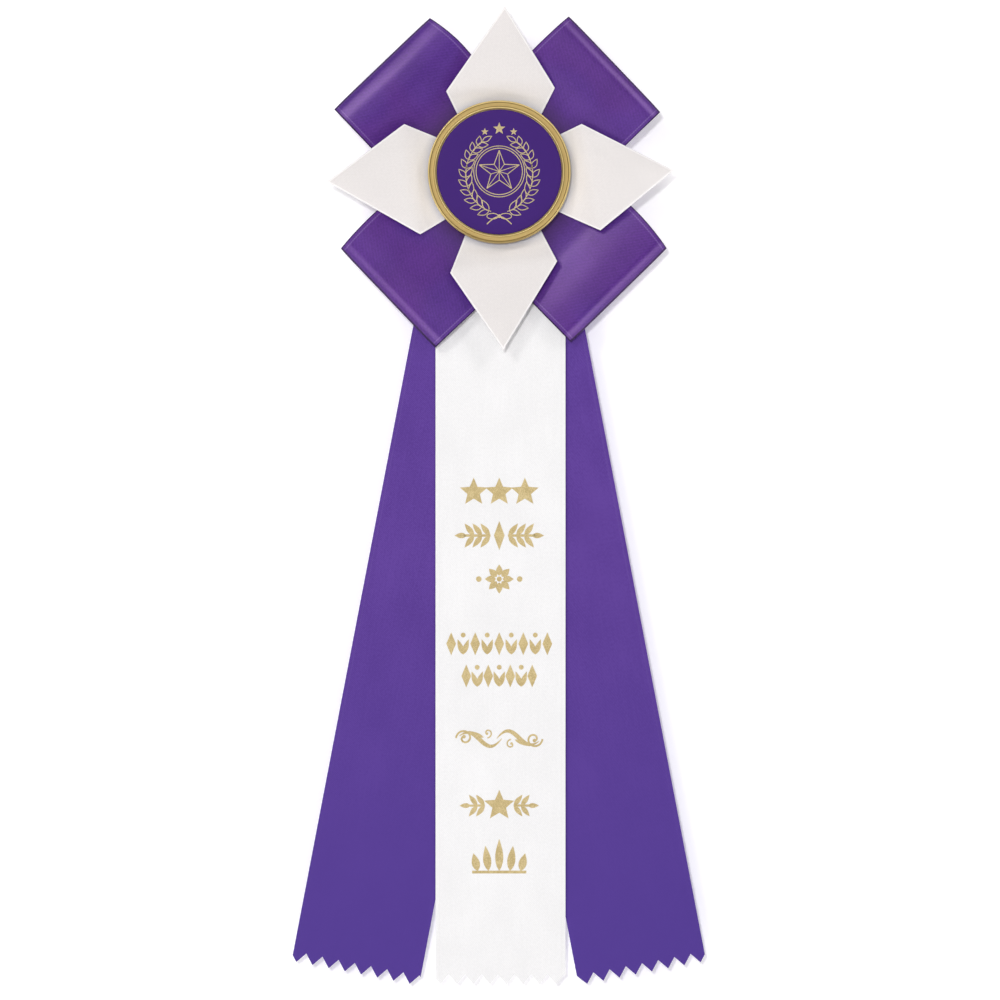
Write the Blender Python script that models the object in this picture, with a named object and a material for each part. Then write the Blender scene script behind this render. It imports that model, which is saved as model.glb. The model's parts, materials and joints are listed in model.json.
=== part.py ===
"""Award ribbon: satin loops and folded petals round a button, with three hanging streamers.

The ribbon hangs upright. +Z is up and its front faces -Y. The origin is on the rosette's axis, at the
back face of the back card, where the bar pin holds it. Lengths are in metres.

Layers are placed by depth, which is measured from the back card's back face towards the front, so a
layer at depth d lies at y = -d. The pin is behind the card, at positive y.
"""

import math

import bmesh
import bpy
from mathutils import Vector

MM = 0.001
GAP = 0.3 * MM

# Ribbon
RIBBON_WIDTH = 50.8 * MM
RIBBON_THICK = 0.4 * MM

# Cards behind the rosette
CARD_RADIUS = 31.75 * MM
BACK_CARD_RADIUS = 31.0 * MM
BACK_CARD_THICK = 0.5 * MM
BASE_CARD_THICK = 1.5 * MM
CARD_SEGMENTS = 72

# Staples: one through each petal
STAPLE_WIRE = 0.5 * MM
STAPLE_HALF_WIDTH = 3.45 * MM
STAPLE_RADIUS = 14.0 * MM
CLINCH_GAP = 1.2 * MM

# Streamers, back to front: where the centreline is at z = 0, its lean from vertical, its length from
# there to the tooth tips, and how far the first tip is from the left edge
STREAMER_TOP = 8.0 * MM
HINGE_Z = -70.0 * MM
HINGE_GAP = 0.4 * MM
FAN_ANGLE = math.radians(10.85)
STREAMERS = {
    "right_streamer": (-3.9 * MM, FAN_ANGLE, 318.4 * MM, 3.4 * MM),
    "left_streamer": (3.6 * MM, -FAN_ANGLE, 318.4 * MM, 1.9 * MM),
    "center_streamer": (0.5 * MM, 0.0, 316.9 * MM, 1.9 * MM),
}
TEETH = 8
TOOTH_PITCH = 6.45 * MM
TOOTH_DEPTH = 4.0 * MM

# Loops: direction from the centre, reach of the outer fold, sideways offset, layer in the stack
LOOPS = {
    "loop_upper_left": (math.radians(133.7), 62.6 * MM, 3.4 * MM, 0),
    "loop_lower_right": (math.radians(314.3), 66.6 * MM, 0.2 * MM, 0),
    "loop_upper_right": (math.radians(43.7), 61.9 * MM, -0.4 * MM, 1),
    "loop_lower_left": (math.radians(223.7), 64.9 * MM, 5.2 * MM, 1),
}
LOOP_INNER_END = 0.4 * MM
LOOP_HEIGHT = 7.0 * MM
LOOP_PINCH_END = 34.0 * MM
LOOP_FULL_HEIGHT = 56.0 * MM
LOOP_RISE_STEPS = 10
LOOP_TURN_STEPS = 10

# Petals: tip and two side corners, as (x, z)
PETALS = {
    "petal_top": ((2.2 * MM, 64.2 * MM), (-20.6 * MM, 31.8 * MM), (21.6 * MM, 33.1 * MM)),
    "petal_right": ((67.7 * MM, 0.6 * MM), (32.1 * MM, 18.9 * MM), (39.4 * MM, -22.4 * MM)),
    "petal_bottom": ((1.6 * MM, -69.0 * MM), (22.5 * MM, -34.5 * MM), (-19.0 * MM, -39.1 * MM)),
    "petal_left": ((-66.8 * MM, -3.8 * MM), (-30.8 * MM, -23.9 * MM), (-37.0 * MM, 18.9 * MM)),
}
PETAL_THICK = 1.3 * MM
PETAL_INNER = 11.0 * MM
PETAL_APEX = -9.4 * MM
PETAL_SLOPE = 0.10

# Button
BUTTON_RADIUS = 27.75 * MM
BEZEL_INNER = 24.6 * MM
BEZEL_HEIGHT = 4.5 * MM
BEZEL_SKIRT = 1.1 * MM
BEZEL_FLOOR = 0.8 * MM
BEZEL_BEAD = 0.5 * MM
INSERT_RADIUS = 24.3 * MM
INSERT_THICK = 0.8 * MM
BUTTON_BACK_THICK = 0.9 * MM
PAD_RADIUS = 9.5 * MM
BUTTON_SEGMENTS = 80

# Bar pin
PIN_PLATE = (38.0 * MM, 0.8 * MM, 6.0 * MM)
PIN_AXIS_Y = 4.0 * MM
PIVOT_X = 17.0 * MM
NEEDLE_RADIUS = 0.5 * MM
NEEDLE_POINT_START = -13.6 * MM
NEEDLE_TIP = -17.3 * MM
HUB_RADIUS = 1.5 * MM
HUB_HALF = 1.2 * MM
RIVET_RADIUS = 0.6 * MM
RIVET_HEAD_RADIUS = 1.15 * MM
RIVET_HEAD = 0.4 * MM
EAR_THICK = 0.7 * MM
EAR_HALF_LENGTH = 1.8 * MM
CRADLE_X = -15.0 * MM
CRADLE_HALF = 1.9 * MM
POST_THICK = 0.7 * MM
POST_HALF_WIDTH = 2.2 * MM
DRUM_RADIUS = 1.5 * MM
SLEEVE_OUTER = 2.5 * MM
SLEEVE_SLOT = math.radians(38)
SLEEVE_STEPS = 22
LEVER_ANGLE = math.radians(-55)
LEVER_REACH = 4.2 * MM
LEVER_THICK = 0.7 * MM
PIN_SEGMENTS = 24

# Depths, from the back card's front face to the button's front
BASE_BACK = BACK_CARD_THICK + CLINCH_GAP
BASE_FRONT = BASE_BACK + BASE_CARD_THICK
LAYER_STEP = RIBBON_THICK + GAP
STREAMER_BACK = {name: BASE_FRONT + GAP + i * LAYER_STEP for i, name in enumerate(STREAMERS)}
HINGE_DEPTH = STREAMER_BACK["center_streamer"] + RIBBON_THICK
LOOP_BACK = [HINGE_DEPTH + GAP + i * 2 * LAYER_STEP for i in range(2)]
PETAL_BACK = LOOP_BACK[1] + 2 * LAYER_STEP
CROWN_BACK = PETAL_BACK + PETAL_SLOPE * (STAPLE_RADIUS - PETAL_INNER) + PETAL_THICK + GAP
SKIRT_BACK = PETAL_BACK + PETAL_SLOPE * (BUTTON_RADIUS - PETAL_INNER) + PETAL_THICK + 1.2 * GAP
BUTTON_BACK_FRONT = SKIRT_BACK + GAP + BUTTON_BACK_THICK
FLOOR_BACK = BUTTON_BACK_FRONT + GAP
FLOOR_FRONT = FLOOR_BACK + BEZEL_FLOOR
INSERT_BACK = FLOOR_FRONT + GAP
BUTTON_FRONT = SKIRT_BACK + BEZEL_HEIGHT


def clear_scene():
    for obj in list(bpy.data.objects):
        bpy.data.objects.remove(obj, do_unlink=True)


def material(name, colour, roughness, metallic=0.0):
    made = bpy.data.materials.new(name)
    made.use_nodes = True
    made.diffuse_color = (*colour, 1.0)
    shader = made.node_tree.nodes["Principled BSDF"]
    shader.inputs["Base Color"].default_value = (*colour, 1.0)
    shader.inputs["Roughness"].default_value = roughness
    shader.inputs["Metallic"].default_value = metallic
    return made


def object_from(name, mesh_builder, surface, origin=(0.0, 0.0, 0.0)):
    """Makes an object from a bmesh in world coordinates, with its origin at the point given."""
    bmesh.ops.recalc_face_normals(mesh_builder, faces=mesh_builder.faces)
    bmesh.ops.translate(mesh_builder, verts=mesh_builder.verts, vec=-Vector(origin))
    mesh = bpy.data.meshes.new(name)
    mesh_builder.to_mesh(mesh)
    mesh_builder.free()
    if surface:
        mesh.materials.append(surface)
    made = bpy.data.objects.new(name, mesh)
    made.location = origin
    bpy.context.collection.objects.link(made)
    return made


def as_cutter(made):
    made.hide_render = True
    made.display_type = "WIRE"
    return made


def combine(target, tool, operation):
    """Adds an exact Boolean that joins the tool to the target, or cuts it away."""
    change = target.modifiers.new(tool.name, "BOOLEAN")
    change.operation = operation
    change.solver = "EXACT"
    change.object = as_cutter(tool)


def add_prism(builder, bottom, top):
    """Adds a closed prism between two outlines that have the same number of corners."""
    low = [builder.verts.new(point) for point in bottom]
    high = [builder.verts.new(point) for point in top]
    builder.faces.new(low)
    builder.faces.new(high)
    for i in range(len(low)):
        j = (i + 1) % len(low)
        builder.faces.new((low[i], low[j], high[j], high[i]))


def add_box(builder, x, y, z):
    """Adds a box from the (low, high) range on each axis."""
    corners = ((x[0], y[0]), (x[1], y[0]), (x[1], y[1]), (x[0], y[1]))
    add_prism(builder, [(a, b, z[0]) for a, b in corners], [(a, b, z[1]) for a, b in corners])


def ring_points(centre, radius, across, segments):
    """Points on a circle round the centre, in the plane of the two axis vectors in across."""
    turns = [2 * math.pi * i / segments for i in range(segments)]
    return [centre + radius * (math.cos(a) * across[0] + math.sin(a) * across[1]) for a in turns]


def add_rod(builder, start, end, start_radius, end_radius, segments=PIN_SEGMENTS):
    """Adds a round rod or cone between two points."""
    start, end = Vector(start), Vector(end)
    along = (end - start).normalized()
    side = along.orthogonal().normalized()
    across = (side, along.cross(side))
    add_prism(
        builder,
        ring_points(start, start_radius, across, segments),
        ring_points(end, end_radius, across, segments),
    )


def smooth_round(made, angle=30):
    made.data.shade_smooth()
    made.data.set_sharp_from_angle(angle=math.radians(angle))
    return made


def plate(name, outline, back, front, surface, origin=(0.0, 0.0, 0.0)):
    """A flat plate with an (x, z) outline between two depths, each a number or a function of x and z."""
    back_at = back if callable(back) else lambda x, z: back
    front_at = front if callable(front) else lambda x, z: front
    builder = bmesh.new()
    add_prism(
        builder,
        [(x, -back_at(x, z), z) for x, z in outline],
        [(x, -front_at(x, z), z) for x, z in outline],
    )
    return object_from(name, builder, surface, origin)


def circle_outline(radius, segments):
    turns = [2 * math.pi * i / segments for i in range(segments)]
    return [(radius * math.cos(a), radius * math.sin(a)) for a in turns]


def turned_ring(name, profile, surface, segments):
    """A ring turned round the rosette's axis from a closed profile of (radius, depth) points."""
    builder = bmesh.new()
    rings = [
        [builder.verts.new((x, -depth, z)) for x, z in circle_outline(radius, segments)]
        for radius, depth in profile
    ]
    for ring, following in zip(rings, rings[1:] + rings[:1]):
        for i in range(segments):
            j = (i + 1) % segments
            builder.faces.new((ring[i], ring[j], following[j], following[i]))
    return smooth_round(object_from(name, builder, surface))


# Cards and staples


def staple_places():
    """The name, centre and sideways direction of each staple, as (x, z) pairs."""
    return {
        "staple_top": (Vector((0, STAPLE_RADIUS)), Vector((1, 0))),
        "staple_right": (Vector((STAPLE_RADIUS, 0)), Vector((0, 1))),
        "staple_bottom": (Vector((0, -STAPLE_RADIUS)), Vector((1, 0))),
        "staple_left": (Vector((-STAPLE_RADIUS, 0)), Vector((0, 1))),
    }


def staple(name, centre, sideways, surface):
    """A wire staple: its crown lies on a petal and its legs are clinched behind the base card."""
    wide, wire = STAPLE_HALF_WIDTH, STAPLE_WIRE
    front, back = CROWN_BACK + wire, BASE_BACK - GAP - wire
    opening = wide - 4.5 * wire
    outline = [(-opening, back), (-wide, back), (-wide, front), (wide, front), (wide, back), (opening, back)]
    outline += [(opening, back + wire), (wide - wire, back + wire), (wide - wire, front - wire)]
    outline += [(-wide + wire, front - wire), (-wide + wire, back + wire), (-opening, back + wire)]
    across = Vector((sideways[1], sideways[0]))
    sides = []
    for shift in (-wire / 2, wire / 2):
        places = [(centre + s * sideways + shift * across, depth) for s, depth in outline]
        sides.append([(at[0], -depth, at[1]) for at, depth in places])
    builder = bmesh.new()
    add_prism(builder, *sides)
    return object_from(name, builder, surface)


def staple_holes():
    """The cutter that clears the staple legs through every layer of ribbon and card."""
    builder = bmesh.new()
    half = STAPLE_WIRE / 2 + GAP
    leg = STAPLE_HALF_WIDTH - STAPLE_WIRE / 2
    for centre, sideways in staple_places().values():
        for side in (-leg, leg):
            at = centre + side * sideways
            add_box(
                builder,
                (at[0] - half, at[0] + half),
                (-CROWN_BACK - 10 * GAP, -BACK_CARD_THICK - GAP),
                (at[1] - half, at[1] + half),
            )
    return as_cutter(object_from("staple_holes", builder, None))


def build_cards(paper, board, holes):
    plate("back_card", circle_outline(BACK_CARD_RADIUS, CARD_SEGMENTS), 0.0, BACK_CARD_THICK, paper)
    card = plate("base_card", circle_outline(CARD_RADIUS, CARD_SEGMENTS), BASE_BACK, BASE_FRONT, board)
    combine(card, holes, "DIFFERENCE")


# Streamers


def streamer_point(name, across, along):
    """The (x, z) of a point on a streamer, across from its centreline and along it from z = 0."""
    foot, lean, _, _ = STREAMERS[name]
    x = foot + along * math.sin(lean) + across * math.cos(lean)
    return x, -along * math.cos(lean) + across * math.sin(lean)


def streamer_edge_at(name, across, height):
    """The point where a streamer's side edge passes a given height."""
    lean = STREAMERS[name][1]
    along = (across * math.sin(lean) - height) / math.cos(lean)
    return streamer_point(name, across, along)


def pinked_end(name):
    """The zigzag lower edge, from the left side to the right."""
    _, _, length, first_tip = STREAMERS[name]
    half = RIBBON_WIDTH / 2
    turns = [first_tip - half + i * TOOTH_PITCH / 2 for i in range(2 * TEETH)]
    points = []
    for across in [-half] + [turn for turn in turns if turn < half] + [half]:
        teeth_from_first = (across + half - first_tip) / TOOTH_PITCH
        from_tip = abs(teeth_from_first - round(teeth_from_first))
        points.append(streamer_point(name, across, length - 2 * TOOTH_DEPTH * from_tip))
    return points


def build_streamer(name, satin, holes):
    """A streamer in two pieces: the end stapled under the rosette, and the length that swings."""
    half = RIBBON_WIDTH / 2
    back = STREAMER_BACK[name]
    front = back + RIBBON_THICK
    top_left = streamer_point(name, -half, -STREAMER_TOP)
    top_right = streamer_point(name, half, -STREAMER_TOP)
    held_left = streamer_edge_at(name, -half, HINGE_Z + HINGE_GAP)
    held_right = streamer_edge_at(name, half, HINGE_Z + HINGE_GAP)
    held = plate(name + "_end", [top_left, held_left, held_right, top_right], back, front, satin)
    combine(held, holes, "DIFFERENCE")
    free_left = streamer_edge_at(name, -half, HINGE_Z - HINGE_GAP)
    free_right = streamer_edge_at(name, half, HINGE_Z - HINGE_GAP)
    outline = [free_left] + pinked_end(name) + [free_right]
    plate(name, outline, back, front, satin, origin=(0.0, -HINGE_DEPTH, HINGE_Z))


# Loops


def loop_centreline(reach):
    """The middle of the ribbon in a loop's side view: (distance from the centre, height) points."""
    low = RIBBON_THICK / 2
    pinched = low + LAYER_STEP
    high = LOOP_HEIGHT - RIBBON_THICK / 2
    turn = (high - low) / 2
    middle = reach - RIBBON_THICK / 2 - turn
    points = [(LOOP_INNER_END, low)]
    for i in range(LOOP_TURN_STEPS + 1):
        angle = math.pi * (i / LOOP_TURN_STEPS - 0.5)
        points.append((middle + turn * math.cos(angle), low + turn + turn * math.sin(angle)))
    for i in range(LOOP_RISE_STEPS + 1):
        t = 1 - i / LOOP_RISE_STEPS
        rise = t * t * (3 - 2 * t)
        across = LOOP_PINCH_END + t * (LOOP_FULL_HEIGHT - LOOP_PINCH_END)
        points.append((across, pinched + rise * (high - pinched)))
    points.append((LOOP_INNER_END, pinched))
    return points


def offset_line(points, distance):
    """The line moved sideways by a distance, measured square to it at each point."""
    moved = []
    last = len(points) - 1
    for i, (a, b) in enumerate(points):
        before, after = Vector(points[max(i - 1, 0)]), Vector(points[min(i + 1, last)])
        along = (after - before).normalized()
        moved.append((a - along.y * distance, b + along.x * distance))
    return moved


def build_loop(name, satin, holes):
    """A ribbon loop: pinched flat under the petals and puffed out beyond them."""
    direction, reach, offset, layer = LOOPS[name]
    outwards = Vector((math.cos(direction), math.sin(direction)))
    sideways = Vector((-outwards.y, outwards.x))
    line = loop_centreline(reach)
    faces = [offset_line(line, side * RIBBON_THICK / 2) for side in (-1, 1)]
    builder = bmesh.new()
    rows = {}
    for side, outline in enumerate(faces):
        for edge in (-1, 1):
            shift = (offset + edge * RIBBON_WIDTH / 2) * sideways
            places = [(a * outwards + shift, LOOP_BACK[layer] + b) for a, b in outline]
            rows[side, edge] = [builder.verts.new((p.x, -depth, p.y)) for p, depth in places]
    strips = ((0, -1, 0, 1), (1, -1, 1, 1), (0, -1, 1, -1), (0, 1, 1, 1))
    for a, b, c, d in strips:
        first, second = rows[a, b], rows[c, d]
        for i in range(len(line) - 1):
            builder.faces.new((first[i], first[i + 1], second[i + 1], second[i]))
    for i in (0, -1):
        builder.faces.new((rows[0, -1][i], rows[0, 1][i], rows[1, 1][i], rows[1, -1][i]))
    made = smooth_round(object_from(name, builder, satin))
    combine(made, holes, "DIFFERENCE")


# Petals


def build_petal(name, satin, holes):
    """A folded point that leans forwards from the pinched centre, over the loops beside it."""
    tip, first, second = (Vector(point) for point in PETALS[name])
    outwards = tip.normalized()
    apex = PETAL_APEX * outwards
    outline = [tip, first]
    for corner in (first, second):
        edge = corner - apex
        reach = (PETAL_INNER - PETAL_APEX) / edge.dot(outwards)
        outline.append(apex + edge * reach)
    outline.append(second)

    def back_at(x, z):
        return PETAL_BACK + PETAL_SLOPE * (Vector((x, z)).dot(outwards) - PETAL_INNER)

    def front_at(x, z):
        return back_at(x, z) + PETAL_THICK

    made = plate(name, outline, back_at, front_at, satin)
    combine(made, holes, "DIFFERENCE")


# Button


def build_button(gold, print_face, board, foam):
    bead, inner, outer = BEZEL_BEAD, BEZEL_INNER, BUTTON_RADIUS
    skirt_inner = outer - BEZEL_SKIRT
    profile = [
        (skirt_inner, SKIRT_BACK),
        (outer - bead / 2, SKIRT_BACK),
        (outer, SKIRT_BACK + bead / 2),
        (outer, BUTTON_FRONT - 1.6 * bead),
        (outer - 0.3 * bead, BUTTON_FRONT - 0.4 * bead),
        (outer - bead, BUTTON_FRONT),
        (outer - 1.7 * bead, BUTTON_FRONT - 0.4 * bead),
        (inner + 1.7 * bead, BUTTON_FRONT - 0.6 * bead),
        (inner + bead, BUTTON_FRONT - 0.2 * bead),
        (inner + 0.3 * bead, BUTTON_FRONT - 0.5 * bead),
        (inner, BUTTON_FRONT - bead),
        (inner, FLOOR_FRONT),
        (inner / 2, FLOOR_FRONT),
        (inner / 2, FLOOR_BACK),
        (skirt_inner, FLOOR_BACK),
    ]
    turned_ring("button_bezel", profile, gold, BUTTON_SEGMENTS)
    insert = circle_outline(INSERT_RADIUS, BUTTON_SEGMENTS)
    plate("button_insert", insert, INSERT_BACK, INSERT_BACK + INSERT_THICK, print_face)
    back = circle_outline(skirt_inner - GAP, BUTTON_SEGMENTS)
    plate("button_back", back, BUTTON_BACK_FRONT - BUTTON_BACK_THICK, BUTTON_BACK_FRONT, board)
    pad = circle_outline(PAD_RADIUS, BUTTON_SEGMENTS // 2)
    plate("button_pad", pad, PETAL_BACK, BUTTON_BACK_FRONT - BUTTON_BACK_THICK - GAP, foam)


# Bar pin


def pin_plate(steel):
    """The bar glued to the back card, with two ears for the rivet and a slotted drum for the needle."""
    length, thick, width = PIN_PLATE
    low, high = GAP, GAP + thick
    builder = bmesh.new()
    add_box(builder, (-length / 2, length / 2), (low, high), (-width / 2, width / 2))
    bar = object_from("pin_plate", builder, steel)
    inside = high - thick / 2
    ear_x = (PIVOT_X - EAR_HALF_LENGTH, PIVOT_X + EAR_HALF_LENGTH)
    ear_inner = HUB_HALF + GAP
    for name, side in (("ear_above", 1), ("ear_below", -1)):
        ear = bmesh.new()
        near, far = sorted((side * ear_inner, side * (ear_inner + EAR_THICK)))
        add_box(ear, ear_x, (inside, PIN_AXIS_Y + HUB_RADIUS), (near, far))
        combine(bar, object_from(name, ear, None), "UNION")
    for name, side in (("post_inner", 1), ("post_outer", -1)):
        post = bmesh.new()
        near = CRADLE_X + side * CRADLE_HALF
        span = sorted((near, near + side * POST_THICK))
        reach = (inside, PIN_AXIS_Y + DRUM_RADIUS + GAP)
        add_box(post, span, reach, (-POST_HALF_WIDTH, POST_HALF_WIDTH))
        combine(bar, object_from(name, post, None), "UNION")
    drum = bmesh.new()
    reach = CRADLE_HALF + POST_THICK / 2
    ends = [(CRADLE_X + side * reach, PIN_AXIS_Y, 0) for side in (-1, 1)]
    add_rod(drum, *ends, DRUM_RADIUS, DRUM_RADIUS)
    combine(bar, object_from("drum", drum, None), "UNION")
    slot = bmesh.new()
    slot_half = NEEDLE_RADIUS + GAP
    reach = CRADLE_HALF + 2 * POST_THICK
    slot_x = (CRADLE_X - reach, CRADLE_X + reach)
    add_box(slot, slot_x, (PIN_AXIS_Y - slot_half, PIN_AXIS_Y + 2 * SLEEVE_OUTER), (-slot_half, slot_half))
    combine(bar, object_from("needle_slot", slot, None), "DIFFERENCE")
    rivet_hole = bmesh.new()
    ends = [(PIVOT_X, PIN_AXIS_Y, side * 3 * HUB_HALF) for side in (-1, 1)]
    add_rod(rivet_hole, *ends, RIVET_RADIUS + GAP, RIVET_RADIUS + GAP)
    combine(bar, object_from("rivet_hole", rivet_hole, None), "DIFFERENCE")


def pin_rivet(steel):
    """The rivet that the needle turns on, with a head outside each ear."""
    inner = HUB_HALF + GAP + EAR_THICK + GAP
    outer = inner + RIVET_HEAD
    builder = bmesh.new()
    stations = [(-outer, RIVET_HEAD_RADIUS), (-inner, RIVET_HEAD_RADIUS), (-inner, RIVET_RADIUS)]
    stations += [(inner, RIVET_RADIUS), (inner, RIVET_HEAD_RADIUS), (outer, RIVET_HEAD_RADIUS)]
    across = (Vector((1, 0, 0)), Vector((0, 1, 0)))
    rings = []
    for z, radius in stations:
        points = ring_points(Vector((PIVOT_X, PIN_AXIS_Y, z)), radius, across, PIN_SEGMENTS)
        rings.append([builder.verts.new(point) for point in points])
    for ring, following in zip(rings, rings[1:]):
        for i in range(PIN_SEGMENTS):
            j = (i + 1) % PIN_SEGMENTS
            builder.faces.new((ring[i], ring[j], following[j], following[i]))
    builder.faces.new(rings[0])
    builder.faces.new(rings[-1])
    smooth_round(object_from("pin_rivet", builder, steel))


def pin_needle(steel):
    """The pointed wire, with a round eye that turns on the rivet."""
    pivot = (PIVOT_X, PIN_AXIS_Y, 0.0)
    builder = bmesh.new()
    ends = [(PIVOT_X, PIN_AXIS_Y, side * HUB_HALF) for side in (-1, 1)]
    add_rod(builder, *ends, HUB_RADIUS, HUB_RADIUS)
    needle = object_from("pin_needle", builder, steel, origin=pivot)
    wire = bmesh.new()
    side, up = Vector((0, 1, 0)), Vector((0, 0, 1))
    root = PIVOT_X - (HUB_RADIUS + RIVET_RADIUS + GAP) / 2
    stations = ((root, 1.0), (NEEDLE_POINT_START, 1.0), (NEEDLE_TIP, 0.16))
    rings = []
    for x, share in stations:
        points = ring_points(Vector((x, PIN_AXIS_Y, 0)), share * NEEDLE_RADIUS, (side, up), PIN_SEGMENTS)
        rings.append([wire.verts.new(point) for point in points])
    for ring, following in zip(rings, rings[1:]):
        for i in range(PIN_SEGMENTS):
            j = (i + 1) % PIN_SEGMENTS
            wire.faces.new((ring[i], ring[j], following[j], following[i]))
    wire.faces.new(rings[0])
    wire.faces.new(rings[-1])
    combine(needle, object_from("needle_wire", wire, None), "UNION")
    bore = bmesh.new()
    ends = [(PIVOT_X, PIN_AXIS_Y, side * 2 * HUB_HALF) for side in (-1, 1)]
    add_rod(bore, *ends, RIVET_RADIUS + GAP, RIVET_RADIUS + GAP)
    combine(needle, object_from("needle_bore", bore, None), "DIFFERENCE")


def pin_catch(steel):
    """The slotted sleeve that turns on the drum to lock the needle in, with its lever."""
    start, stop = SLEEVE_SLOT, 2 * math.pi - SLEEVE_SLOT
    inner = DRUM_RADIUS + GAP
    turns = [start + (stop - start) * i / SLEEVE_STEPS for i in range(SLEEVE_STEPS + 1)]
    half = CRADLE_HALF - GAP
    builder = bmesh.new()
    rows = {}
    for radius in (inner, SLEEVE_OUTER):
        for side in (-1, 1):
            x = CRADLE_X + side * half
            rows[radius, side] = [
                builder.verts.new((x, PIN_AXIS_Y + radius * math.cos(a), radius * math.sin(a))) for a in turns
            ]
    order = [rows[inner, -1], rows[inner, 1], rows[SLEEVE_OUTER, 1], rows[SLEEVE_OUTER, -1]]
    for first, second in zip(order, order[1:] + order[:1]):
        for i in range(SLEEVE_STEPS):
            builder.faces.new((first[i], first[i + 1], second[i + 1], second[i]))
    for i in (0, -1):
        builder.faces.new([row[i] for row in order])
    axis_point = (CRADLE_X, PIN_AXIS_Y, 0.0)
    sleeve = object_from("pin_catch", builder, steel, origin=axis_point)
    lever = bmesh.new()
    outwards = Vector((0, math.cos(LEVER_ANGLE), math.sin(LEVER_ANGLE)))
    across = Vector((0, -outwards.z, outwards.y)) * LEVER_THICK / 2
    middle = (inner + SLEEVE_OUTER) / 2
    sides = []
    for side in (-0.7, 0.7):
        centre = Vector((CRADLE_X + side * half, PIN_AXIS_Y, 0))
        near, far = centre + middle * outwards, centre + LEVER_REACH * outwards
        sides.append([near - across, far - across, far + across, near + across])
    add_prism(lever, *sides)
    combine(sleeve, object_from("lever", lever, None), "UNION")


def main():
    clear_scene()
    purple = material("purple_satin", (0.115, 0.058, 0.300), 0.42)
    white = material("white_satin", (0.92, 0.92, 0.91), 0.45)
    paper = material("back_paper", (0.86, 0.85, 0.82), 0.85)
    board = material("card_board", (0.62, 0.60, 0.55), 0.90)
    gold = material("gold_metal", (0.62, 0.43, 0.17), 0.35, 1.0)
    print_face = material("purple_print", (0.063, 0.024, 0.188), 0.40)
    foam = material("foam_pad", (0.80, 0.80, 0.78), 0.95)
    steel = material("pin_steel", (0.62, 0.62, 0.63), 0.30, 1.0)
    wire = material("staple_wire", (0.66, 0.66, 0.67), 0.35, 1.0)

    holes = staple_holes()
    build_cards(paper, board, holes)
    for name in STREAMERS:
        build_streamer(name, white if name == "center_streamer" else purple, holes)
    for name in LOOPS:
        build_loop(name, purple, holes)
    for name in PETALS:
        build_petal(name, white, holes)
    for name, (centre, sideways) in staple_places().items():
        staple(name, centre, sideways, wire)
    build_button(gold, print_face, board, foam)
    pin_plate(steel)
    pin_rivet(steel)
    pin_needle(steel)
    pin_catch(steel)


main()
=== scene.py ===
"""The looks of the award ribbon: satin loops, folded points, printed streamers, gilt button and bar pin.

It hangs upright with its front towards -Y, and the origin is on the rosette's axis at the back face of
the back card. Lengths are in metres.
"""

import json
import math

import bmesh
import bpy
import numpy as np
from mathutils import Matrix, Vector

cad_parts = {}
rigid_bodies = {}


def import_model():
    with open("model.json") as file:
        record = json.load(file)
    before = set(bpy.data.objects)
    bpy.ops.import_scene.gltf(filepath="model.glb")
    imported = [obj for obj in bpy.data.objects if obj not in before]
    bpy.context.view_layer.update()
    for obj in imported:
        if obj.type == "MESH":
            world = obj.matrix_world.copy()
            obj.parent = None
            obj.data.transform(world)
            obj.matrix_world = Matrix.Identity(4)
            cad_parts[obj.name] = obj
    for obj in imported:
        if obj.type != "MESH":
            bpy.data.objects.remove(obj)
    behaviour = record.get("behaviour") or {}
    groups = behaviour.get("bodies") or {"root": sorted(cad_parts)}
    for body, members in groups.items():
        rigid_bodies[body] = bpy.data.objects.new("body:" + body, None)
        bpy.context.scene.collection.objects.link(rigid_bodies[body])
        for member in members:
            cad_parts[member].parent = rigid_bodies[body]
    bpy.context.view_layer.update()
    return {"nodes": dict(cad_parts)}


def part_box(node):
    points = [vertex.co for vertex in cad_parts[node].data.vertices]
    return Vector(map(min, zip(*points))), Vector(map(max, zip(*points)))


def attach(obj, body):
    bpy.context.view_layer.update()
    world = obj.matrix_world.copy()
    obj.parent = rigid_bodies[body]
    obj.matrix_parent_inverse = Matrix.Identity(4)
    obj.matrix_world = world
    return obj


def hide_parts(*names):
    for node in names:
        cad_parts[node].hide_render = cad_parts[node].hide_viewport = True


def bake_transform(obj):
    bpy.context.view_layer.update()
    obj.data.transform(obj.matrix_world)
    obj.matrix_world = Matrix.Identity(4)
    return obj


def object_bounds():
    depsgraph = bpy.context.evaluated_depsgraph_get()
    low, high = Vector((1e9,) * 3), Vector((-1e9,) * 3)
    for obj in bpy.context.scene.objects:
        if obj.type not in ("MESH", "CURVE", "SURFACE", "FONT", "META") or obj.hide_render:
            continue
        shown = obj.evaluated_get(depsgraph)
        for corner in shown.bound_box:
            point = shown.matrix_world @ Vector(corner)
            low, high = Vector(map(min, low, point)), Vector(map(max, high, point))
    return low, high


MM = 0.001

# Ribbon: the satin's size, its woven line in from each edge, its twill, and the width of the painted line
# along edges and folds (painted shade on the loops, painted highlight on the points)
RIBBON_WIDTH = 50.8 * MM
SATIN_THICK = 0.26 * MM
SELVEDGE_IN = 1.5 * MM
TWILL_STEP = 0.72 * MM
PAINTED_RIM_WIDTH = 0.4 * MM

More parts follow.
